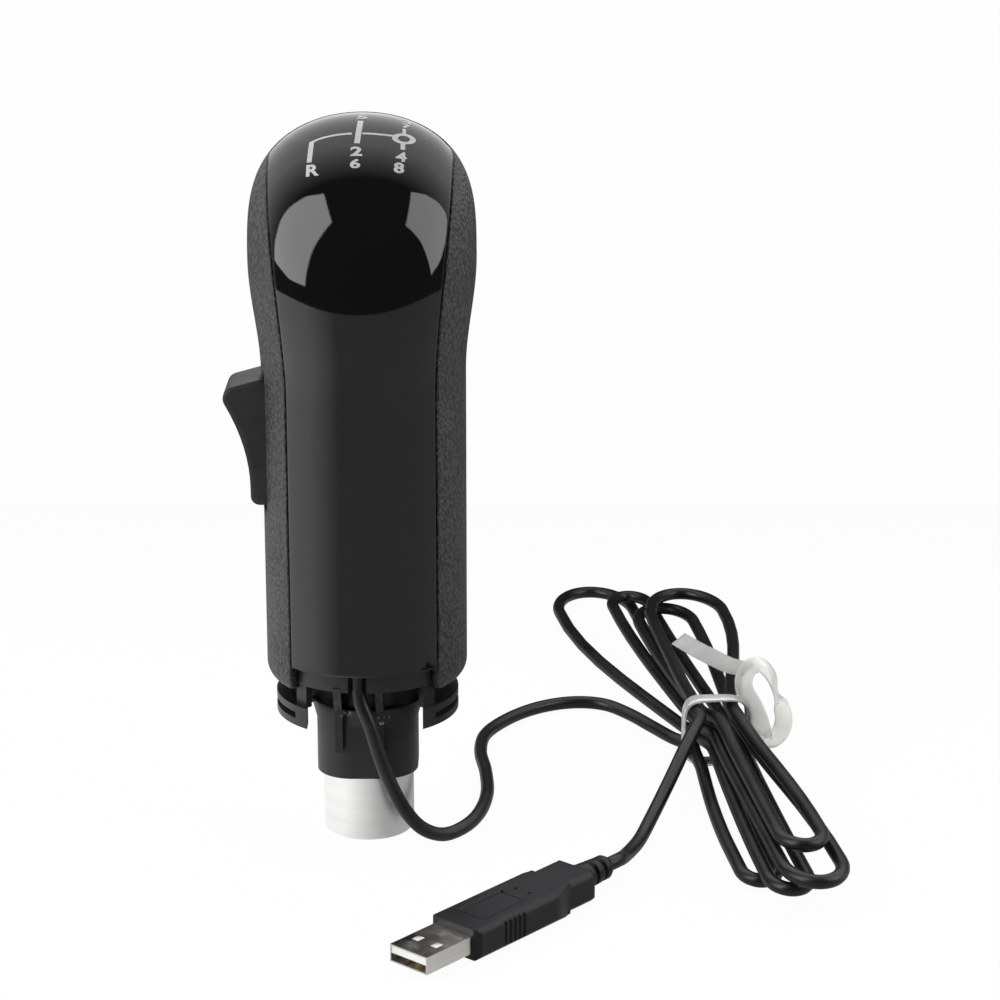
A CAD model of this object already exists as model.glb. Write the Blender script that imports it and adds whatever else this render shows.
"""Shift knob for a racing simulator: grained grip, gloss cover, range paddle, lead with a plug."""
import math

import bmesh
import bpy
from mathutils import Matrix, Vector, kdtree
from mathutils.bvhtree import BVHTree


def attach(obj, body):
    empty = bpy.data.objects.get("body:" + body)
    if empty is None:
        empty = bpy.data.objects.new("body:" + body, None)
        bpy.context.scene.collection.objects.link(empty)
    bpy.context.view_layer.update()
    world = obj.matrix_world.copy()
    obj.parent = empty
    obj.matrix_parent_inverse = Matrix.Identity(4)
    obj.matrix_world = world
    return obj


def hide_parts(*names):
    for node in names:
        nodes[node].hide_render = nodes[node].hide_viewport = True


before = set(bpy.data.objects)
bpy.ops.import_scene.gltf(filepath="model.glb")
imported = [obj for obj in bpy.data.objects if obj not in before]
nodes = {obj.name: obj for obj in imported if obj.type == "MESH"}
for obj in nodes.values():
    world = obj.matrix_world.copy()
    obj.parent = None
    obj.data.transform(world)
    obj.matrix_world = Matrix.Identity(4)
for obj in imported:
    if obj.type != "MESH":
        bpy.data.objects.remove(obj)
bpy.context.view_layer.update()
scene = bpy.context.scene
scene.view_settings.view_transform = "Standard"

# Studio
# The camera stands before the grip and a little above it. A glowing panel lights each side, and a low black
# flag stands behind. The room is bright behind and overhead, and dark in front. The floor is white card,
# brighter to the left in what the gloss mirrors.
CAMERA_PITCH = 16.5
CAMERA_AT = (0.035, -0.7479, 0.312)
CAMERA_LENS, CAMERA_SENSOR = 108, 36
HEAD_CENTRE = Vector((0, 0, 0.165))
FLOOR_FRONT = 0.68
FLOOR_SIDE = 4
FLOOR_SINK = 0.0003

camera = bpy.data.objects.new("camera", bpy.data.cameras.new("camera"))
camera.data.sensor_width = CAMERA_SENSOR
camera.data.lens = CAMERA_LENS
camera.location = CAMERA_AT
camera.rotation_euler = (math.radians(90 - CAMERA_PITCH), 0, 0)
scene.collection.objects.link(camera)
scene.camera = camera


def mesh_piece(name, points, faces, material=None, smooth=True):
    """A mesh object from points and faces, in the frame's metres."""
    mesh = bpy.data.meshes.new(name)
    mesh.from_pydata([tuple(p) for p in points], [], faces)
    mesh.update()
    if smooth:
        mesh.shade_smooth()
    if material:
        mesh.materials.append(material)
    piece = bpy.data.objects.new(name, mesh)
    scene.collection.objects.link(piece)
    return piece


def glow(name, strength):
    """A light panel's face."""
    material = bpy.data.materials.new(name)
    material.use_nodes = True
    tree = material.node_tree
    tree.nodes.clear()
    face = tree.nodes.new("ShaderNodeEmission")
    face.inputs["Strength"].default_value = strength
    out = tree.nodes.new("ShaderNodeOutputMaterial")
    tree.links.new(face.outputs[0], out.inputs[0])
    return material


def toward(azimuth, elevation, distance):
    """A point that the head sees at this azimuth, counted from the front to the right, and elevation."""
    a, e = math.radians(azimuth), math.radians(elevation)
    way = Vector((math.sin(a) * math.cos(e), -math.cos(a) * math.cos(e), math.sin(e)))
    return HEAD_CENTRE + distance * way


SIDE_DISTANCE = 0.9
LEFT_GLOW, RIGHT_GLOW, FLAG_GLOW = 4.6, 3.7, 0.03
LEFT_CORNERS = (
    (-51, 56), (-32, 44), (-48, 19), (-56, -7), (-75, -7), (-92, -2), (-91, 6), (-86, 21), (-80, 32),
    (-69, 45),
)
RIGHT_CORNERS = ((66, 51), (49, 36), (62, 20), (75, -6), (82, -2), (91, 6), (95, 15), (91, 27), (81, 39))
for name, corners, strength in (
    ("left_panel", LEFT_CORNERS, LEFT_GLOW), ("right_panel", RIGHT_CORNERS, RIGHT_GLOW),
):
    rim = [toward(a, e, SIDE_DISTANCE) for a, e in corners]
    middle = sum(rim, Vector()) / len(rim)
    fan = [(i, (i + 1) % len(rim), len(rim)) for i in range(len(rim))]
    panel = mesh_piece(name, rim + [middle], fan, glow(name, strength), smooth=False)
    panel.visible_camera = False
FLAG_BACK, FLAG_TOP, FLAG_HALF = 0.3, 0.2, 0.9
flag_corners = [(FLAG_HALF * x, FLAG_BACK, z) for x, z in ((-1, 0), (1, 0), (1, FLAG_TOP), (-1, FLAG_TOP))]
flag = mesh_piece("black_flag", flag_corners, [range(4)], glow("flag", FLAG_GLOW), smooth=False)
flag.visible_camera = False


def ramp(tree, value, low, high, at_low, at_high):
    """A node that takes a value from one span to another and stops at its ends."""
    node = tree.nodes.new("ShaderNodeMapRange")
    for socket, number in zip(("From Min", "From Max", "To Min", "To Max"), (low, high, at_low, at_high)):
        node.inputs[socket].default_value = number
    tree.links.new(value, node.inputs["Value"])
    return node.outputs[0]


def joined(tree, operation, first, second):
    """A maths node of two values, each a socket or a number."""
    node = tree.nodes.new("ShaderNodeMath")
    node.operation = operation
    for socket, value in zip(node.inputs, (first, second)):
        if isinstance(value, (int, float)):
            socket.default_value = value
        else:
            tree.links.new(value, socket)
    return node.outputs[0]


FLOOR_SHADE = 0.86
FLOOR_WHITE = 0.955
NEAR_TO_FAR = (0.1, 0.17, 0, 1)
FAR_GLOSS = (-0.88, -0.45, 1.5, 0.45)
NEAR_GLOSS = (-0.7, 0.5, 1.05, 0.4)
floor_paint = bpy.data.materials.new("floor_paint")
floor_paint.use_nodes = True
tree = floor_paint.node_tree
tree.nodes.clear()
path = tree.nodes.new("ShaderNodeLightPath")
place = tree.nodes.new("ShaderNodeNewGeometry")
bearing = tree.nodes.new("ShaderNodeVectorMath")
bearing.operation = "NORMALIZE"
tree.links.new(place.outputs["Position"], bearing.inputs[0])
bearing_split = tree.nodes.new("ShaderNodeSeparateXYZ")
tree.links.new(bearing.outputs["Vector"], bearing_split.inputs[0])
distance = tree.nodes.new("ShaderNodeVectorMath")
distance.operation = "LENGTH"
tree.links.new(place.outputs["Position"], distance.inputs[0])
away = ramp(tree, distance.outputs["Value"], *NEAR_TO_FAR)
far_floor = ramp(tree, bearing_split.outputs["X"], *FAR_GLOSS)
near_floor = ramp(tree, bearing_split.outputs["X"], *NEAR_GLOSS)
difference = joined(tree, "SUBTRACT", far_floor, near_floor)
in_gloss = joined(tree, "ADD", joined(tree, "MULTIPLY", away, difference), near_floor)
seen = joined(tree, "MAXIMUM", path.outputs["Is Camera Ray"], path.outputs["Is Transmission Ray"])
bright = joined(tree, "ADD", seen, joined(tree, "MULTIPLY", path.outputs["Is Glossy Ray"], in_gloss))
share = joined(tree, "MULTIPLY", joined(tree, "MAXIMUM", seen, path.outputs["Is Glossy Ray"]), FLOOR_WHITE)
matte = tree.nodes.new("ShaderNodeBsdfDiffuse")
matte.inputs["Color"].default_value = (FLOOR_SHADE, FLOOR_SHADE, FLOOR_SHADE, 1)
white = tree.nodes.new("ShaderNodeEmission")
tree.links.new(bright, white.inputs["Strength"])
mix = tree.nodes.new("ShaderNodeMixShader")
tree.links.new(share, mix.inputs[0])
tree.links.new(matte.outputs[0], mix.inputs[1])
tree.links.new(white.outputs[0], mix.inputs[2])
out = tree.nodes.new("ShaderNodeOutputMaterial")
tree.links.new(mix.outputs[0], out.inputs[0])
front_edge = [math.radians(a) for a in range(-100, 101, 10)]
floor_points = [(FLOOR_FRONT * math.sin(a), -FLOOR_FRONT * math.cos(a), -FLOOR_SINK) for a in front_edge]
floor_points += [(x, FLOOR_SIDE, -FLOOR_SINK) for x in (FLOOR_SIDE, -FLOOR_SIDE)]
floor = mesh_piece("floor", floor_points, [range(len(floor_points))], floor_paint, smooth=False)

OVERHEAD_SHARE = 0.3
FRONT_TO_BACK = (0.01, 0.45, 0.1, 1.9)
room = bpy.data.worlds.new("room")
scene.world = room
room.use_nodes = True
tree = room.node_tree
tree.nodes.clear()
way = tree.nodes.new("ShaderNodeTexCoord")
split = tree.nodes.new("ShaderNodeSeparateXYZ")
tree.links.new(way.outputs["Generated"], split.inputs[0])
overhead = joined(tree, "MULTIPLY", split.outputs["Z"], OVERHEAD_SHARE)
behind = joined(tree, "ADD", split.outputs["Y"], overhead)
glow_behind = ramp(tree, behind, *FRONT_TO_BACK)
path = tree.nodes.new("ShaderNodeLightPath")
unseen = joined(tree, "SUBTRACT", 1, path.outputs["Is Camera Ray"])
strength = joined(tree, "ADD", joined(tree, "MULTIPLY", unseen, glow_behind), path.outputs["Is Camera Ray"])
sky = tree.nodes.new("ShaderNodeBackground")
tree.links.new(strength, sky.inputs["Strength"])
out = tree.nodes.new("ShaderNodeOutputWorld")
tree.links.new(sky.outputs[0], out.inputs[0])

# Lead
# A black round cable in a soft satin jacket. It leaves the skirt's notch, hangs down before the neck and lies
# on the floor. It is folded into a hank of four turns laid on one another, and ends in the plug.
CORD_D = 0.0037
CORD_R = CORD_D / 2
WAIST = Vector((0.098, 0.045, 0))
HANK_TURN = math.radians(97)
ALONG = Vector((math.cos(HANK_TURN), math.sin(HANK_TURN), 0))
ACROSS = Vector((math.sin(HANK_TURN), -math.cos(HANK_TURN), 0))
HANK_STEP = 0.0043
WAIST_INNER = 0.0025
WAIST_SWELL = 0.0018
FOLD_LONG = 1.6
OPEN_POWER = 1.35
RINGS = 24
RING_TURN = 30
FAR_FOLDS = ((-0.016, 0.012, 0.131), (-0.006, 0.006, 0.122), (0, 0.0085, 0.092), (0.006, 0.011, 0.089))
NEAR_FOLDS = (
    (-0.0065, 0.0045, 0.080), (-0.002, 0.005, 0.095), (0.0035, 0.0075, 0.097), (0.0025, 0.0055, 0.087),
)
TURNS = len(FAR_FOLDS)
JOIN_OUT = 0.0055
JOIN_RINGS = 4
JOIN_RUN = 0.006
CLIMB_TURNS = 0.1
TIE_W = 0.0052
TIE_T = 0.0007
TIE_GAP = 0.0005
TIE_LIFT = TIE_T + TIE_GAP
TIE_EDGE = 2 * TIE_W
LIFT_FADE = 0.014


def ease(t):
    """A share from 0 to 1 that starts and ends gently."""
    t = min(1, max(0, t))
    return t * t * (3 - 2 * t)


def along_run(t, near, far):
    """How far along the hank a turn is at ring t."""
    runs = (
        (0, 0), (1, -TIE_EDGE), (2, -0.45 * near), (3, -0.75 * near), (4, -near), (10, -near),
        (11, -0.5 * near), (12, -TIE_EDGE), (13, TIE_EDGE), (14, 0.5 * far), (15, far), (21, far),
        (22, 0.5 * far), (23, TIE_EDGE), (RINGS, 0),
    )
    for (t0, l0), (t1, l1) in zip(runs, runs[1:]):
        if t <= t1:
            return l0 + (l1 - l0) * (t - t0) / (t1 - t0)


def level(u):
    """Turns below a point of the hank: each turn climbs onto the last one at the waist."""
    return sum(ease((u - k) / CLIMB_TURNS + 0.5) for k in range(1, TURNS))


def waist_half(h):
    """Half the hank's width at the waist, h turns up."""
    return WAIST_INNER + WAIST_SWELL * (1 - (2 * h / (TURNS - 1) - 1) ** 2)


def hank_point(u):
    """The middle of the cable at u turns of the hank."""
    k = min(int(u), TURNS - 1)
    t = RINGS * (u - k)
    l = along_run(t, NEAR_FOLDS[k][2], FAR_FOLDS[k][2])
    lean, fold_r, reach_out = FAR_FOLDS[k] if l > 0 else NEAR_FOLDS[k]
    opened = math.sin(math.pi / 2 * min(1, abs(l) / reach_out)) ** OPEN_POWER
    lift = TIE_LIFT * math.exp(-(max(0, abs(l) - TIE_EDGE / 2) / LIFT_FADE) ** 2)
    turned = math.radians(RING_TURN * (t - 4 if t < 12 else t - 15))
    if 4 < t < 10:
        w, l = lean - fold_r * math.cos(turned), l - FOLD_LONG * fold_r * math.sin(turned)
    elif 15 < t < 21:
        w, l = lean + fold_r * math.cos(turned), l + FOLD_LONG * fold_r * math.sin(turned)
    else:
        half = waist_half(level(u)) * (1 - opened) + fold_r * opened
        w = lean * opened + (-half if t < 5 or t > 20 else half)
        if k == 0:
            w -= JOIN_OUT * (1 - ease(t / JOIN_RINGS))
        elif k == TURNS - 1:
            w -= JOIN_OUT * ease((t - RINGS) / JOIN_RINGS + 1)
    return WAIST + w * ACROSS + l * ALONG + Vector((0, 0, CORD_R + lift + HANK_STEP * level(u)))


def smooth_through(points, steps):
    """A smooth curve through points, with the same number of steps between each two."""
    p = [Vector(x) for x in points]
    p = [2 * p[0] - p[1]] + p + [2 * p[-1] - p[-2]]
    made = []
    for a, b, c, d in zip(p, p[1:], p[2:], p[3:]):
        for s in range(steps):
            t = s / steps
            made.append(
                0.5 * (2 * b + (c - a) * t + (2 * a - 5 * b + 4 * c - d) * t * t
                       + (3 * b - a - 3 * c + d) * t ** 3)
            )
    return made + [p[-2]]


EXIT = Vector((-0.0016, -0.0212, 0.049))
PLUG_AT = Vector((0.062, -0.038, 0.004))
PLUG_TURN = math.radians(228.7)
PLUG_AXIS = Vector((math.cos(PLUG_TURN), math.sin(PLUG_TURN), 0))
hank_start, hank_end = hank_point(0), hank_point(TURNS)
lead_route = [
    EXIT, EXIT - Vector((0, 0, 0.003)), (-0.0008, -0.0218, 0.042), (0.0014, -0.0226, 0.0365),
    (0.0036, -0.023, 0.029), (0.0064, -0.0228, 0.021), (0.010, -0.0214, 0.013), (0.0145, -0.0186, 0.0064),
    (0.020, -0.014, 0.0026), (0.0255, -0.007, CORD_R), (0.0295, 0.003, CORD_R), (0.0315, 0.017, CORD_R),
    (0.031, 0.033, CORD_R), (0.0295, 0.048, CORD_R), (0.031, 0.062, CORD_R), (0.038, 0.075, CORD_R),
    (0.047, 0.084, CORD_R), (0.057, 0.088, CORD_R), (0.066, 0.086, CORD_R), (0.073, 0.078, CORD_R),
    (0.079, 0.068, CORD_R),
    (hank_start.x - 0.0055, hank_start.y + 0.013, CORD_R + TIE_LIFT / 2),
    hank_start + JOIN_RUN * ALONG, hank_start,
]
tail_route = [
    hank_end, hank_end - JOIN_RUN * ALONG, (hank_end.x - 0.0016, hank_end.y - 0.014, hank_end.z - 0.0012),
    (0.0855, 0.022, 0.0124), (0.082, 0.013, 0.009), (0.0785, 0.004, 0.0058), (0.075, -0.006, 0.0034),
    (0.0715, -0.017, CORD_R + 0.0002), (0.0675, -0.028, 0.0026), PLUG_AT - 0.005 * PLUG_AXIS, PLUG_AT,
]
TURN_STEPS = 96
cord_points = (
    smooth_through(lead_route, 6)
    + [hank_point(i / TURN_STEPS) for i in range(1, TURNS * TURN_STEPS)]
    + smooth_through(tail_route, 6)
)
cord_curve = bpy.data.curves.new("lead_cable", "CURVE")
cord_curve.dimensions = "3D"
cord_curve.bevel_depth = CORD_R
cord_curve.bevel_resolution = 6
cord_curve.use_fill_caps = True
cord_line = cord_curve.splines.new("POLY")
cord_line.points.add(len(cord_points) - 1)
for point, place in zip(cord_line.points, cord_points):
    point.co = (*place, 1)
cord_line.use_smooth = True
lead_cable = bpy.data.objects.new("lead_cable", cord_curve)
scene.collection.objects.link(lead_cable)


DRIFT_LOW, DRIFT_HIGH = 0.3, 0.7


def made_of(name, dark, light, rough, grain, relief, drift=60, stretch=(1, 1, 1), **sockets):
    """A material whose colour and gloss drift slowly between two values, with a fine grain in its relief."""
    material = bpy.data.materials.new(name)
    material.use_nodes = True
    tree = material.node_tree
    shader = tree.nodes["Principled BSDF"]
    for socket, value in sockets.items():
        shader.inputs[socket.replace("_", " ")].default_value = value
    place = tree.nodes.new("ShaderNodeTexCoord")
    scaled = tree.nodes.new("ShaderNodeMapping")
    scaled.inputs["Scale"].default_value = stretch
    tree.links.new(place.outputs["Object"], scaled.inputs["Vector"])
    slow = tree.nodes.new("ShaderNodeTexNoise")
    slow.inputs["Scale"].default_value = drift
    slow.inputs["Detail"].default_value = 6
    tree.links.new(scaled.outputs[0], slow.inputs["Vector"])
    colour = tree.nodes.new("ShaderNodeValToRGB")
    colour.color_ramp.elements[0].position = DRIFT_LOW
    colour.color_ramp.elements[0].color = (*dark, 1)
    colour.color_ramp.elements[1].position = DRIFT_HIGH
    colour.color_ramp.elements[1].color = (*light, 1)
    tree.links.new(slow.outputs["Fac"], colour.inputs["Fac"])
    tree.links.new(colour.outputs["Color"], shader.inputs["Base Color"])
    gloss = ramp(tree, slow.outputs["Fac"], DRIFT_LOW, DRIFT_HIGH, *rough)
    tree.links.new(gloss, shader.inputs["Roughness"])
    fine = tree.nodes.new("ShaderNodeTexNoise")
    fine.inputs["Scale"].default_value = grain
    fine.inputs["Detail"].default_value = 3
    tree.links.new(scaled.outputs[0], fine.inputs["Vector"])
    bump = tree.nodes.new("ShaderNodeBump")
    bump.inputs["Strength"].default_value = 1
    bump.inputs["Distance"].default_value = relief
    tree.links.new(fine.outputs["Fac"], bump.inputs["Height"])
    tree.links.new(bump.outputs["Normal"], shader.inputs["Normal"])
    return material


cord_jacket = made_of(
    "cord_jacket", (0.004, 0.004, 0.0045), (0.009, 0.009, 0.0095), (0.3, 0.42), 1500, 0.00002, drift=90,
    Specular_IOR_Level=0.4,
)
cord_curve.materials.append(cord_jacket)
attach(lead_cable, "housing")
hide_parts("cord_lead", "cord_hank", "cord_tail")

# Tie
# A strap of clear, soft plastic, wound twice round the hank's waist. It is knotted at the side and pulled
# into a bow, with its loose end laid over the far folds.
WIND_STEPS = 64
WINDS = 2
WIND_ROUND = 0.45
WIND_PILE = 0.6
WIND_PITCH, WIND_SWAY = 0.0015, 0.0012
WOUND_W = 0.8 * TIE_W
tie_left = waist_half(0) + JOIN_OUT + CORD_R + TIE_GAP
tie_right = waist_half(1) + CORD_R + TIE_GAP
tie_high = CORD_D + HANK_STEP * (TURNS - 1) + 2 * TIE_GAP
tie_middle = WAIST + (tie_right - tie_left) / 2 * ACROSS + Vector((0, 0, tie_high / 2 + TIE_T))


def wind_point(share):
    """A point of the strap's windings, from 0 at the start to 1 at the end of the last turn."""
    angle = 2 * math.pi * WINDS * share
    out = TIE_T * (0.5 + WINDS * share * WIND_PILE)
    c, s = math.cos(angle), math.sin(angle)
    w = ((tie_left + tie_right) / 2 + out) * math.copysign(abs(c) ** WIND_ROUND, c)
    h = (tie_high / 2 + (out if s > 0 else TIE_T / 2)) * math.copysign(abs(s) ** WIND_ROUND, s)
    l = WIND_PITCH * math.cos(math.pi * share) - WIND_SWAY * math.cos(angle)
    return tie_middle + w * ACROSS + l * ALONG + Vector((0, 0, h))


def strap(points, facings, width):
    """A closed flat strap along points. At each one its flat side faces the given way."""
    half = ((-1, -0.5), (-1, 0.5), (-0.92, 1), (0, 0.8), (0.92, 1))
    outline = half + tuple((-a, -b) for a, b in half)
    count = len(outline)
    made = []
    for i, (p, facing) in enumerate(zip(points, facings)):
        ahead = (points[min(i + 1, len(points) - 1)] - points[max(i - 1, 0)]).normalized()
        side = facing.cross(ahead).normalized()
        up = ahead.cross(side)
        made += [p + width / 2 * a * side + TIE_T / 2 * b * up for a, b in outline]
    faces = [
        (i * count + k, i * count + (k + 1) % count, (i + 1) * count + (k + 1) % count, (i + 1) * count + k)
        for i in range(len(points) - 1) for k in range(count)
    ]
    faces += [tuple(range(count - 1, -1, -1)), tuple((len(points) - 1) * count + k for k in range(count))]
    return made, faces


wound = [wind_point(i / (WIND_STEPS * WINDS)) for i in range(WIND_STEPS * WINDS + 1)]
wound_facing = [(p - tie_middle - ALONG * (p - tie_middle).dot(ALONG)).normalized() for p in wound]
BOW = (
    (0.1092, 0.0434, 0.0076), (0.1082, 0.0424, 0.0124), (0.1063, 0.0422, 0.0176), (0.1034, 0.0442, 0.0228),
    (0.1046, 0.0466, 0.027), (0.1082, 0.0476, 0.028), (0.1114, 0.0472, 0.0246), (0.1128, 0.0466, 0.0194),
    (0.1142, 0.0462, 0.0162), (0.115, 0.0456, 0.0124), (0.114, 0.0448, 0.0088), (0.1116, 0.044, 0.0068),
    (0.1092, 0.0434, 0.0076),
)
BOW_FACES = (
    (0.2, -1, 0.2), (-0.3, -1, 0.2), (-0.5, -1, 0.1), (-0.5, -0.9, 0.4), (-0.2, -0.7, 0.8), (0.3, -0.5, 0.8),
    (0.8, -0.5, 0.4), (1, -0.2, 0.1), (0.6, -0.8, 0.1), (0.3, -1, 0.1), (0.1, -1, -0.1), (0, -1, -0.2),
    (0.2, -1, 0.2),
)
LOOSE_END = (
    (0.1046, 0.0466, 0.027), (0.1002, 0.058, 0.0242), (0.096, 0.071, 0.0222), (0.092, 0.084, 0.0203),
    (0.0882, 0.096, 0.0189),
)
LOOSE_END_FACES = (
    (-0.2, -0.7, 0.8), (-0.2, -0.75, 0.7), (-0.2, -0.75, 0.65), (-0.2, -0.7, 0.7), (-0.2, -0.7, 0.7),
)
BOW_STEPS = 8
tie_points, tie_faces = [], []
for line, facing, width in (
    (wound, wound_facing, WOUND_W),
    (smooth_through(BOW, BOW_STEPS), smooth_through(BOW_FACES, BOW_STEPS), TIE_W),
    (smooth_through(LOOSE_END, BOW_STEPS), smooth_through(LOOSE_END_FACES, BOW_STEPS), TIE_W),
):
    points, faces = strap(line, facing, width)
    tie_faces += [tuple(k + len(tie_points) for k in face) for face in faces]
    tie_points += points
KNOT_R = 0.0023
KNOT_AT = Vector(BOW[0]) + Vector((-0.002, 0, 0))
KNOT_FLAT = 0.8
knot = bmesh.new()
bmesh.ops.create_icosphere(knot, subdivisions=3, radius=KNOT_R)
for v in knot.verts:
    v.co = KNOT_AT + Vector((v.co.x, KNOT_FLAT * v.co.y, v.co.z))
tie_faces += [tuple(v.index + len(tie_points) for v in f.verts) for f in knot.faces]
tie_points += [v.co.copy() for v in knot.verts]
knot.free()
clear_strap = made_of(
    "clear_strap", (0.84, 0.84, 0.81), (0.92, 0.92, 0.89), (0.3, 0.42), 500, 0.000006, drift=240,
    Transmission_Weight=0.45, IOR=1.3,
)
tie_strip = mesh_piece("tie_strip", tie_points, tie_faces, clear_strap)
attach(tie_strip, "housing")
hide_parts("cord_tie")

# Plug
# The lead ends in a black overmoulded grip with a ringed strain relief. A folded sheet of nickel-plated steel
# stands out of it, with two square windows, round a white tongue with four gilt contacts on its underside.
PLUG_EDGE, PLUG_CORNER = 0.00028, 0.0011
BEVEL_ANGLE = math.radians(32)


def eased_edges(piece, width, segments=2):
    """Small rounds on the sharp edges of a moulded or machined piece."""
    bevel = piece.modifiers.new("eased_edges", "BEVEL")
    bevel.width = width
    bevel.segments = segments
    bevel.limit_method = "ANGLE"
    bevel.angle_limit = BEVEL_ANGLE
    bevel.harden_normals = True
    return piece


def soft_corners(material, radius):
    """Lets the light roll over a material's corners, as on a moulding with rounded edges."""
    tree = material.node_tree
    corner = tree.nodes.new("ShaderNodeBevel")
    corner.inputs["Radius"].default_value = radius
    tree.links.new(corner.outputs["Normal"], tree.nodes["Bump"].inputs["Normal"])


def dress(node, material):
    """Gives a node of the frame its finish."""
    piece = nodes[node]
    piece.data.materials.clear()
    piece.data.materials.append(material)
    return piece


plug_mould = made_of(
    "plug_mould", (0.005, 0.0055, 0.0066), (0.009, 0.0096, 0.0112), (0.34, 0.46), 2600, 0.00002, drift=150,
    Specular_IOR_Level=0.3,
)
plug_nickel = made_of(
    "plug_nickel", (0.74, 0.72, 0.66), (0.84, 0.82, 0.76), (0.16, 0.3), 500, 0.000008, drift=200,
    stretch=(1, 1, 6), Metallic=1.0,
)
tongue_plastic = made_of(
    "tongue_plastic", (0.76, 0.76, 0.73), (0.86, 0.86, 0.83), (0.4, 0.55), 2000, 0.00001
)
contact_gold = made_of(
    "contact_gold", (0.7, 0.48, 0.18), (0.85, 0.62, 0.26), (0.2, 0.35), 900, 0.000005, Metallic=1.0
)
soft_corners(plug_mould, PLUG_CORNER)
eased_edges(dress("plug_overmould", plug_mould), PLUG_EDGE, 3)
dress("plug_shell", plug_nickel)
dress("plug_tongue", tongue_plastic)
dress("plug_contacts", contact_gold)

# Adapter tube
# A sleeve of aluminium, pressed into the chassis, that goes over the lever.
# It is turned, so fine tool marks run round it, and its edges are broken a little.
TUBE_EDGE = 0.0002
tube_aluminium = made_of(
    "tube_aluminium", (0.80, 0.80, 0.79), (0.90, 0.90, 0.89), (0.24, 0.36), 420, 0.000012, drift=60,
    stretch=(0.25, 0.25, 5), Metallic=1.0,
)
eased_edges(dress("adapter_tube", tube_aluminium), TUBE_EDGE)

# Chassis
# One moulding in satin black plastic: the neck round the tube, the cup and the gaiter wings, the skirt that
# closes the shells below, and the spine inside. A few pale crumbs of glue stick beside the lead.
CHASSIS_EDGE = 0.00022
GLUE_SPOTS = ((-0.0052, -0.0145, 0.0365), (0.0042, -0.0145, 0.035))
GLUE_FADE = (0.001, 0.0045, 0.34, 0)
GLUE_CUT = (0.86, 0.93, 0, 0.7)
GLUE_GRAIN = 1000
GLUE_PALE = (0.36, 0.36, 0.35, 1)
chassis_plastic = made_of(
    "chassis_plastic", (0.009, 0.009, 0.0095), (0.016, 0.016, 0.017), (0.34, 0.5), 1400, 0.00002, drift=120,
    Specular_IOR_Level=0.4,
)
tree = chassis_plastic.node_tree
place = tree.nodes.new("ShaderNodeTexCoord")
glue_spread = tree.nodes.new("ShaderNodeTexNoise")
glue_spread.inputs["Scale"].default_value = GLUE_GRAIN
glue_spread.inputs["Detail"].default_value = 4
tree.links.new(place.outputs["Object"], glue_spread.inputs["Vector"])
glue = 0
for spot in GLUE_SPOTS:
    away = tree.nodes.new("ShaderNodeVectorMath")
    away.operation = "DISTANCE"
    away.inputs[1].default_value = spot
    tree.links.new(place.outputs["Object"], away.inputs[0])
    glue = joined(tree, "ADD", glue, ramp(tree, away.outputs["Value"], *GLUE_FADE))
specks = ramp(tree, joined(tree, "ADD", glue, glue_spread.outputs["Fac"]), *GLUE_CUT)
glued = tree.nodes.new("ShaderNodeMix")
glued.data_type = "RGBA"
tree.links.new(specks, glued.inputs["Factor"])
tree.links.new(tree.nodes["Color Ramp"].outputs["Color"], glued.inputs["A"])
glued.inputs["B"].default_value = GLUE_PALE
tree.links.new(glued.outputs["Result"], tree.nodes["Principled BSDF"].inputs["Base Color"])
eased_edges(dress("chassis", chassis_plastic), CHASSIS_EDGE)

# Inside the grip
# The pin and the small screws are steel. The slide switch, its slider, the board with its chip and socket,
# the three switch wires, the end of the lead and its clamp sit on the spine.
screw_steel = made_of(
    "screw_steel", (0.45, 0.45, 0.46), (0.6, 0.6, 0.6), (0.25, 0.4), 900, 0.00001, Metallic=1.0
)
switch_plastic = made_of(
    "switch_plastic", (0.02, 0.02, 0.022), (0.03, 0.03, 0.032), (0.4, 0.5), 1500, 0.00001
)
slider_plastic = made_of("slider_plastic", (0.72, 0.71, 0.67), (0.8, 0.79, 0.75), (0.35, 0.45), 1200, 0.00001)
board_green = made_of("board_green", (0.015, 0.12, 0.05), (0.025, 0.17, 0.07), (0.3, 0.4), 700, 0.00001)
chip_black = made_of("chip_black", (0.015, 0.015, 0.016), (0.025, 0.025, 0.025), (0.5, 0.6), 2500, 0.00001)
header_plastic = made_of("header_plastic", (0.74, 0.71, 0.62), (0.82, 0.79, 0.7), (0.35, 0.45), 1200, 0.00001)
wire_red = made_of("wire_red", (0.4, 0.02, 0.015), (0.5, 0.03, 0.02), (0.35, 0.45), 1500, 0.00001)
inner_finish = {
    "paddle_pin": screw_steel, "switch_screws": screw_steel, "board_screws": screw_steel,
    "clamp_screws": screw_steel, "shell_screws": screw_steel, "slide_switch": switch_plastic,
    "switch_slider": slider_plastic, "circuit_board": board_green, "board_chip": chip_black,
    "board_header": header_plastic, "switch_wires": wire_red, "cord_inner": cord_jacket,
    "cord_clamp": switch_plastic,
}
for node, material in inner_finish.items():
    dress(node, material)

# Range paddle
# A lever in black moulded plastic on the left side, hollow under the finger below its rounded tip.
# It turns on the steel pin, and the fork on its inner side drives the slider of the switch.
PADDLE_EDGE, PADDLE_CORNER = 0.0009, 0.0018
paddle_plastic = made_of(
    "paddle_plastic", (0.010, 0.0105, 0.011), (0.016, 0.0165, 0.0175), (0.4, 0.55), 1700, 0.00003, drift=140
)
soft_corners(paddle_plastic, PADDLE_CORNER)
eased_edges(dress("range_paddle", paddle_plastic), PADDLE_EDGE, 3)

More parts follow.
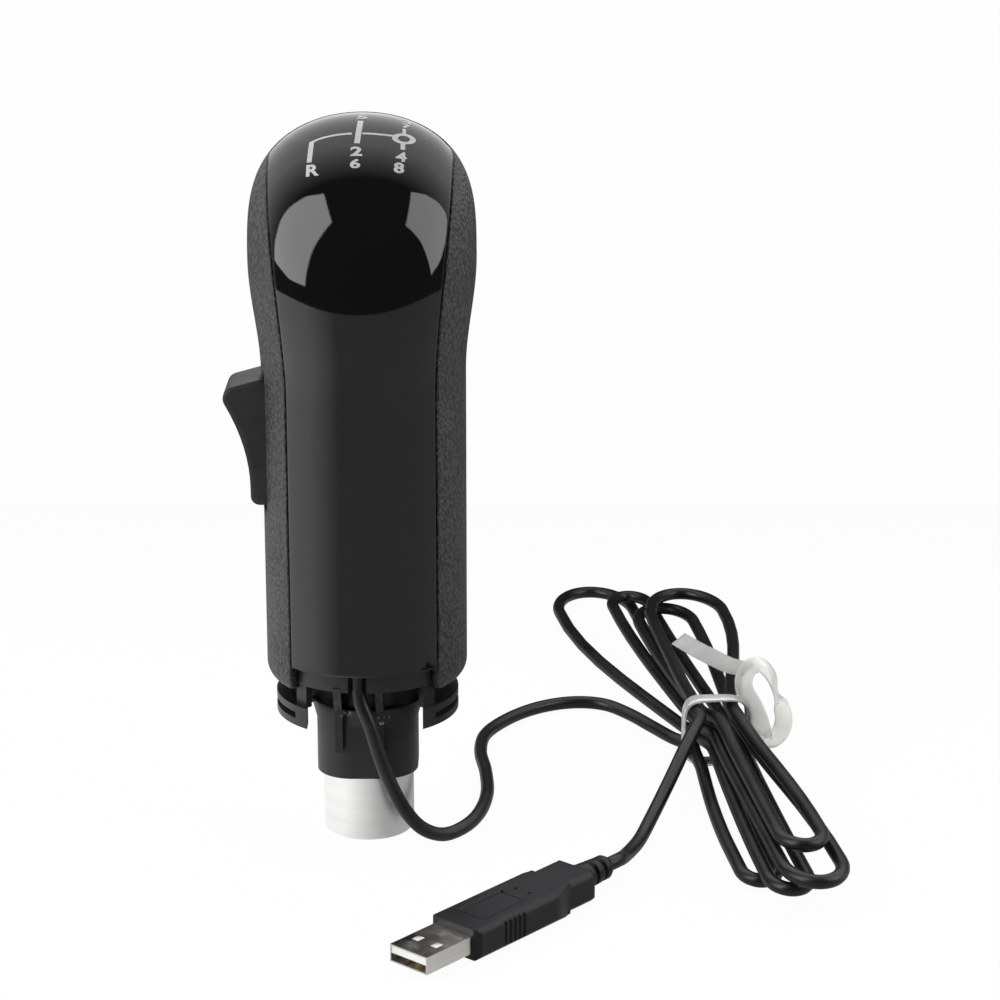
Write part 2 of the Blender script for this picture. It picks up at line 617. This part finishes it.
# Shells
# The grip is one swept form, round below and swollen into a domed head. A gloss black cover closes its front
# and top, and a dark grey shell with a leather grain its sides and back. A thin seam runs between them.
GRIP_R = 0.0263
WALL = 0.0024
SHELL_BOTTOM = 0.0427
SHELL_ROUND = 0.005
SHELL_MOUTH = 0.0227
WAIST_Z, FRONT_WAIST_Z = 0.126, 0.118
HEAD_Z, FRONT_Z, TOP_Z = 0.155, 0.146, 0.1906
HEAD_SIDE, HEAD_FRONT, HEAD_BACK = GRIP_R + 0.0028, GRIP_R + 0.0039, GRIP_R + 0.0047
CROWN_BACK = 0.005
DOME_SIDE, DOME_FRONT, DOME_BACK = 3.3, 2.2, 3
COVER_BOTTOM = 0.0506
COVER_HALF = GRIP_R * math.sin(math.radians(46))
COVER_HEAD_HALF = HEAD_SIDE - 0.0056
COVER_WIDEN_Z, COVER_FULL_Z = 0.122, 0.186
COVER_ROUND_Y, COVER_TAIL = -0.002, 0.026
SEAM_GAP = 0.0003
SEAM_ROUND = 0.0005
HALVINGS = 40
TOP_MARGIN = 1e-5


def reach(z, head, start, full, fullness, inset):
    """How far a level section reaches in one direction, for a skin that lies inset inside the outer face."""
    straight, head = GRIP_R - inset, head - inset
    if z <= start:
        return straight
    if z <= full:
        return straight + (head - straight) * ease((z - start) / (full - start))
    return head * math.sqrt(max(0, 1 - ((z - full) / (TOP_Z - inset - full)) ** fullness))


def skin(z, angle, inset=0):
    """A point of the grip's skin. Angle 0 is the front and counts to the right."""
    z = min(z, TOP_Z - inset)
    rim = SHELL_BOTTOM + SHELL_ROUND - z
    tuck = SHELL_ROUND - math.sqrt(max(0, SHELL_ROUND ** 2 - rim * rim)) if rim > 0 else 0
    s, c = math.sin(angle), math.cos(angle)
    side = max(reach(z, HEAD_SIDE, WAIST_Z, HEAD_Z, DOME_SIDE, inset) - tuck, SHELL_MOUTH if rim > 0 else 0)
    if c > 0:
        deep = reach(z, HEAD_FRONT, FRONT_WAIST_Z, FRONT_Z, DOME_FRONT, inset)
    else:
        deep = reach(z, HEAD_BACK, WAIST_Z, HEAD_Z, DOME_BACK, inset)
    deep = max(deep - tuck, SHELL_MOUTH if rim > 0 else 0)
    y0 = CROWN_BACK * ease((z - HEAD_Z) / (TOP_Z - HEAD_Z))
    return Vector((side * s, y0 - c * deep, z))


def in_cover(p, grow):
    """Whether a point of the skin lies in the cover's outline, grown by a gap."""
    widen = ease((p.z - COVER_WIDEN_Z) / (COVER_FULL_Z - COVER_WIDEN_Z))
    half = COVER_HALF + (COVER_HEAD_HALF - COVER_HALF) * widen + grow
    if p.z < HEAD_Z or p.y < COVER_ROUND_Y:
        return abs(p.x) < half and p.y < 0
    round_end = math.hypot(p.x / (COVER_HEAD_HALF + grow), (p.y - COVER_ROUND_Y) / (COVER_TAIL + grow))
    return round_end < 1


def halved(test, low, high):
    """The place between low, where the test holds, and high, where it fails."""
    for _ in range(HALVINGS):
        middle = (low + high) / 2
        if test(middle):
            low = middle
        else:
            high = middle
    return low


def seam_angle(z, grow):
    """The angle at which the seam crosses a level."""
    if in_cover(skin(z, math.pi), grow):
        return math.pi
    return halved(lambda a: in_cover(skin(z, a), grow), 0, math.pi)


def seam_top(grow):
    """Height at which the seam closes at the back of the crown."""
    return halved(lambda z: not in_cover(skin(z, math.pi), grow), HEAD_Z, TOP_Z - TOP_MARGIN)


def steps(low, high, size):
    """Even steps of about a size from low up to high, without high itself."""
    count = max(1, round((high - low) / size))
    return [low + (high - low) * i / count for i in range(count)]


EDGE = [0, 0.00005, 0.00013, 0.00025, 0.0004, 0.0006, 0.001, 0.0016]
COLUMN = 0.0012
MERGE, SLIVER = 2e-6, 1e-6


def spread(arc):
    """Shares from 0 to 1 along an arc, close together at both ends."""
    near = [d / arc for d in EDGE]
    middle = steps(EDGE[-1] / arc + COLUMN / arc, 1 - EDGE[-1] / arc - COLUMN / 2 / arc, COLUMN / arc)
    return near + middle + [1 - d for d in reversed(near)]


def shell_mesh(name, levels, span, columns, seam_rows, closed_top):
    """A closed shell piece between an outer and an inner skin. Its edges along the seam are rounded in."""
    rows, width = len(levels), len(columns)
    angles = []
    for z in levels:
        first, last = span(z)
        angles.append([first + (last - first) * share for share in columns])
    rim = [skin(z, a) for z, row in zip(levels[:seam_rows], angles) for a in (row[0], row[-1])]
    rim += [skin(levels[0], a) for a in angles[0]]
    near = kdtree.KDTree(len(rim))
    for i, p in enumerate(rim):
        near.insert(p, i)
    near.balance()
    outer, inner = [], []
    for z, row in zip(levels, angles):
        for a in row:
            p = skin(z, a)
            away = near.find(p)[2]
            gone = max(0, SEAM_ROUND - away)
            roll = SEAM_ROUND - math.sqrt(max(0, SEAM_ROUND ** 2 - gone ** 2))
            outer.append(skin(z, a, roll) if roll else p)
            inner.append(skin(z, a, WALL))
    below = len(outer)
    grid = [
        (j * width + i, j * width + i + 1, (j + 1) * width + i + 1, (j + 1) * width + i)
        for j in range(rows - 1) for i in range(width - 1)
    ]
    faces = grid + [tuple(below + k for k in reversed(f)) for f in grid]
    edge = [(i + 1, i) for i in range(width - 1)]
    for j in range(seam_rows - 1):
        edge += [(j * width, (j + 1) * width), ((j + 2) * width - 1, (j + 1) * width - 1)]
    faces += [(a, b, below + b, below + a) for a, b in edge]
    if closed_top:
        last = [(rows - 1) * width + i for i in range(width - 1)]
        faces += [tuple(last), tuple(below + k for k in reversed(last))]
    piece = mesh_piece(name, outer + inner, faces)
    shape = bmesh.new()
    shape.from_mesh(piece.data)
    bmesh.ops.remove_doubles(shape, verts=shape.verts, dist=MERGE)
    bmesh.ops.dissolve_degenerate(shape, edges=shape.edges, dist=SLIVER)
    bmesh.ops.recalc_face_normals(shape, faces=shape.faces)
    shape.to_mesh(piece.data)
    shape.free()
    piece.data.shade_smooth()
    return piece


LOW_ROW, HEAD_ROW, CROWN_ROW = 0.002, 0.0012, 0.0004
CROWN_Z = 0.174
SEAM_END = (0.001, 0.0007, 0.00045, 0.00028, 0.00016, 0.00008, 0.00003)
cover_top = seam_top(0)
cover_levels = [COVER_BOTTOM + d for d in EDGE]
cover_levels += steps(cover_levels[-1] + LOW_ROW / 2, COVER_WIDEN_Z, LOW_ROW)
cover_levels += steps(COVER_WIDEN_Z, CROWN_Z, HEAD_ROW)
cover_levels += steps(CROWN_Z, cover_top - SEAM_END[0], CROWN_ROW)
cover_levels += [cover_top - d for d in SEAM_END]
seam_rows = len(cover_levels) + 1
CAP_ROWS = 16
CAP_CLOSED = 0.98
cover_levels += [
    TOP_Z - (TOP_Z - cover_top) * (1 - CAP_CLOSED * i / CAP_ROWS) ** 2 for i in range(CAP_ROWS + 1)
]


def cover_span(z):
    """The cover's two edges at a level, as angles."""
    a = seam_angle(z, 0)
    return -a, a


COVER_ARC = 2 * COVER_HALF * 1.13
front_cover = shell_mesh("front_cover_gloss", cover_levels, cover_span, spread(COVER_ARC), seam_rows, True)

shell_top = seam_top(SEAM_GAP)
RIM_FROM = math.acos(1 - (GRIP_R - SHELL_MOUTH) / SHELL_ROUND)
RIM_ROWS = 9
FINE_FROM = WAIST_Z - 0.01
shell_levels = [
    SHELL_BOTTOM + SHELL_ROUND - SHELL_ROUND * math.sin(RIM_FROM * (1 - i / RIM_ROWS))
    for i in range(RIM_ROWS)
]
shell_levels += steps(SHELL_BOTTOM + SHELL_ROUND, FINE_FROM, LOW_ROW)
shell_levels += steps(FINE_FROM, CROWN_Z, HEAD_ROW)
shell_levels += steps(CROWN_Z, shell_top - SEAM_END[0], CROWN_ROW)
shell_levels += [shell_top - d for d in SEAM_END + (0,)]


def shell_span(z):
    """The grip shell's two edges at a level, as angles."""
    a = seam_angle(z, SEAM_GAP)
    return a, 2 * math.pi - a


SHELL_ARC = GRIP_R * 4.6
grip_shell = shell_mesh(
    "grip_shell_leather", shell_levels, shell_span, spread(SHELL_ARC), len(shell_levels), False
)
SLOT_HALF = 0.0084
SLOT_LOW, SLOT_HIGH = 0.0898, 0.126
SLOT_DEEP, SLOT_X = 0.02, -0.0265
bpy.ops.mesh.primitive_cube_add(size=1)
slot_cutter = bpy.context.object
slot_cutter.scale = (SLOT_DEEP, 2 * SLOT_HALF, SLOT_HIGH - SLOT_LOW)
slot_cutter.location = (SLOT_X, 0, (SLOT_LOW + SLOT_HIGH) / 2)
slot_cut = grip_shell.modifiers.new("paddle_slot", "BOOLEAN")
slot_cut.object = slot_cutter
slot_cut.solver = "EXACT"
bpy.context.view_layer.update()
cut_mesh = bpy.data.meshes.new_from_object(grip_shell.evaluated_get(bpy.context.evaluated_depsgraph_get()))
grip_shell.modifiers.clear()
grip_shell.data = cut_mesh
bpy.data.objects.remove(slot_cutter)

gloss_cover = made_of(
    "gloss_cover", (0.002, 0.002, 0.0022), (0.003, 0.003, 0.0032), (0.02, 0.045), 300, 0.0000012, drift=40
)
COVER_CORNER = 0.0006
soft_corners(gloss_cover, COVER_CORNER)
front_cover.data.materials.append(gloss_cover)
leather = made_of(
    "grip_leather", (0.03, 0.03, 0.0315), (0.042, 0.042, 0.044), (0.5, 0.65), 5000, 0.00002, drift=70
)
GRAIN_SCALE, GRAIN_DEEP = 950, 0.0003
GRAIN_SHADE = (0.1, 0.7, 1.5, 0.35)
tree = leather.node_tree
shader = tree.nodes["Principled BSDF"]
pebbles = tree.nodes.new("ShaderNodeTexVoronoi")
pebbles.inputs["Scale"].default_value = GRAIN_SCALE
pebbles.inputs["Randomness"].default_value = 1
place = tree.nodes.new("ShaderNodeTexCoord")
tree.links.new(place.outputs["Object"], pebbles.inputs["Vector"])
grain = tree.nodes.new("ShaderNodeBump")
grain.invert = True
grain.inputs["Strength"].default_value = 1
grain.inputs["Distance"].default_value = GRAIN_DEEP
tree.links.new(pebbles.outputs["Distance"], grain.inputs["Height"])
tree.links.new(tree.nodes["Bump"].outputs["Normal"], grain.inputs["Normal"])
tree.links.new(grain.outputs["Normal"], shader.inputs["Normal"])
pits = tree.nodes.new("ShaderNodeMix")
pits.data_type = "RGBA"
pits.blend_type = "MULTIPLY"
pits.inputs["Factor"].default_value = 1
tree.links.new(tree.nodes["Color Ramp"].outputs["Color"], pits.inputs["A"])
tree.links.new(ramp(tree, pebbles.outputs["Distance"], *GRAIN_SHADE), pits.inputs["B"])
tree.links.new(pits.outputs["Result"], shader.inputs["Base Color"])
grip_shell.data.materials.clear()
grip_shell.data.materials.append(leather)
for piece, node, slot in (
    (front_cover, "front_cover", "gloss_cover"), (grip_shell, "grip_shell", "grip_skin"),
):
    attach(piece, "housing")
    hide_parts(node)

# Print
# The shift pattern in pale grey ink on the head: bars, gate line, ring and plain figures. It is pad-printed,
# so each mark is a thin closed skin pressed onto the dome from the front or from above.
INK_LIFT = 0.00006
INK_SINK = 0.00008
PAD_FRONT = Vector((0, math.cos(math.radians(30)), -math.sin(math.radians(30))))
PAD_ABOVE = Vector((0, 0, -1))
PAD_AWAY = 0.3
INK_PIECE = 0.0008
FIGURE_BOLD, FIGURE_MERGE = 0.035, 0.001
dome = BVHTree.FromObject(front_cover, bpy.context.evaluated_depsgraph_get())


def bar(start, end, width):
    """A straight mark's corners, cut into short lengths that can follow the dome."""
    start, end = Vector(start), Vector(end)
    side = (end - start).orthogonal().normalized() * width / 2
    count = max(1, round((end - start).length / INK_PIECE))
    rows = [start.lerp(end, i / count) for i in range(count + 1)]
    points = [p + s * side for p in rows for s in (-1, 1)]
    return points, [(2 * i, 2 * i + 1, 2 * i + 3, 2 * i + 2) for i in range(count)]


def path_mark(line, width):
    """A mark of even width along a line of points."""
    line = [Vector(p) for p in line]
    points = []
    for i, p in enumerate(line):
        ahead = line[min(i + 1, len(line) - 1)] - line[max(i - 1, 0)]
        side = ahead.orthogonal().normalized() * width / 2
        points += [p - side, p + side]
    return points, [(2 * i, 2 * i + 1, 2 * i + 3, 2 * i + 2) for i in range(len(line) - 1)]


def ring_mark(centre, outer, inner, steps=32):
    """A flat ring between two ovals."""
    points = []
    for i in range(steps):
        c, s = math.cos(2 * math.pi * i / steps), math.sin(2 * math.pi * i / steps)
        points += [Vector((centre[0] + r[0] * c, centre[1] + r[1] * s)) for r in (outer, inner)]
    last = 2 * steps
    return points, [(2 * i, (2 * i + 2) % last, (2 * i + 3) % last, 2 * i + 1) for i in range(steps)]


def figure(sign, centre, top, bottom, width):
    """A letter or number, fitted to its box."""
    letter = bpy.data.curves.new("figure", "FONT")
    letter.body = sign
    letter.offset = FIGURE_BOLD
    letter.resolution_u = 4
    carrier = bpy.data.objects.new("figure", letter)
    scene.collection.objects.link(carrier)
    bpy.context.view_layer.update()
    flat = bpy.data.meshes.new_from_object(carrier.evaluated_get(bpy.context.evaluated_depsgraph_get()))
    bpy.data.objects.remove(carrier)
    form = bmesh.new()
    form.from_mesh(flat)
    bmesh.ops.remove_doubles(form, verts=form.verts, dist=FIGURE_MERGE)
    xs, ys = [v.co.x for v in form.verts], [v.co.y for v in form.verts]
    points = [
        Vector((
            centre + width * ((v.co.x - min(xs)) / (max(xs) - min(xs)) - 0.5),
            bottom + (top - bottom) * (v.co.y - min(ys)) / (max(ys) - min(ys)),
        ))
        for v in form.verts
    ]
    faces = [tuple(v.index for v in f.verts) for f in form.faces]
    form.free()
    bpy.data.meshes.remove(flat)
    return points, faces


ink_form = bmesh.new()


def press(mark, pad):
    """Lays a flat mark on the dome along the pad's way, as a thin closed skin."""
    points, faces = mark
    up = Vector((1, 0, 0)).cross(pad)
    low, high = [], []
    for p in points:
        hit, normal, _, _ = dome.ray_cast(Vector((p.x, 0, 0)) + up * p.y - pad * PAD_AWAY, pad)
        low.append(ink_form.verts.new(hit - INK_SINK * normal))
        high.append(ink_form.verts.new(hit + INK_LIFT * normal))
    edges = {}
    for face in faces:
        ink_form.faces.new([high[i] for i in face])
        ink_form.faces.new([low[i] for i in reversed(face)])
        for a, b in zip(face, face[1:] + face[:1]):
            edges[(a, b)] = edges.pop((b, a), None) is None
    for (a, b), lone in edges.items():
        if lone:
            ink_form.faces.new((high[b], high[a], low[a], low[b]))


BAR_W = 0.00122
MIDDLE_BAR_W = 1.15 * BAR_W
LINE_W = 0.00058
STEM_W = 0.00115
STEM_TIP_W = 0.7 * STEM_W
front_marks = [
    bar((-0.01185, 0.1570), (-0.01225, 0.1508), BAR_W),
    bar((0.00016, 0.1637), (-0.00047, 0.1558), MIDDLE_BAR_W),
    bar((0.01085, 0.1566), (0.0109, 0.1545), STEM_W),
    bar((0.01102, 0.1617), (0.01108, 0.1598), STEM_TIP_W),
    path_mark(
        [(-0.0122, 0.15690), (-0.0107, 0.15758), (-0.00949, 0.158), (-0.0082, 0.1583), (-0.007, 0.15855),
         (-0.0057, 0.15873), (-0.00451, 0.15885), (-0.0031, 0.15895), (-0.00183, 0.159)], LINE_W,
    ),
    path_mark(
        [(0.0008, 0.15905), (0.0022, 0.15902), (0.0036, 0.15896), (0.00497, 0.15889), (0.0065, 0.15882),
         (0.0084, 0.1587)], LINE_W,
    ),
    ring_mark((0.01106, 0.1581), (0.00293, 0.00177), (0.0015, 0.00105)),
    figure("R", -0.01126, 0.1501, 0.1467, 0.0033),
    figure("2", -0.00055, 0.15476, 0.1519, 0.003),
    figure("6", -0.00074, 0.15105, 0.1483, 0.0026),
    figure("4", 0.0105, 0.1537, 0.15085, 0.00275),
    figure("8", 0.01005, 0.15048, 0.1474, 0.0026),
]
top_marks = [
    figure("5", 0.00045, 0.0025, 0.0, 0.0027), figure("1", 0.00045, 0.0058, 0.0033, 0.0012),
    figure("7", 0.01145, 0.0011, -0.0013, 0.0021), figure("3", 0.0116, 0.0046, 0.0018, 0.0022),
]
for mark in front_marks:
    press(mark, PAD_FRONT)
for mark in top_marks:
    press(mark, PAD_ABOVE)
bmesh.ops.recalc_face_normals(ink_form, faces=ink_form.faces)
ink_mesh = bpy.data.meshes.new("shift_print")
ink_form.to_mesh(ink_mesh)
ink_form.free()
shift_print = bpy.data.objects.new("shift_print", ink_mesh)
scene.collection.objects.link(shift_print)
pale_ink = made_of("pale_ink", (0.44, 0.44, 0.44), (0.56, 0.56, 0.56), (0.5, 0.65), 2500, 0.000006, drift=900)
ink_mesh.materials.append(pale_ink)
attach(shift_print, "housing")
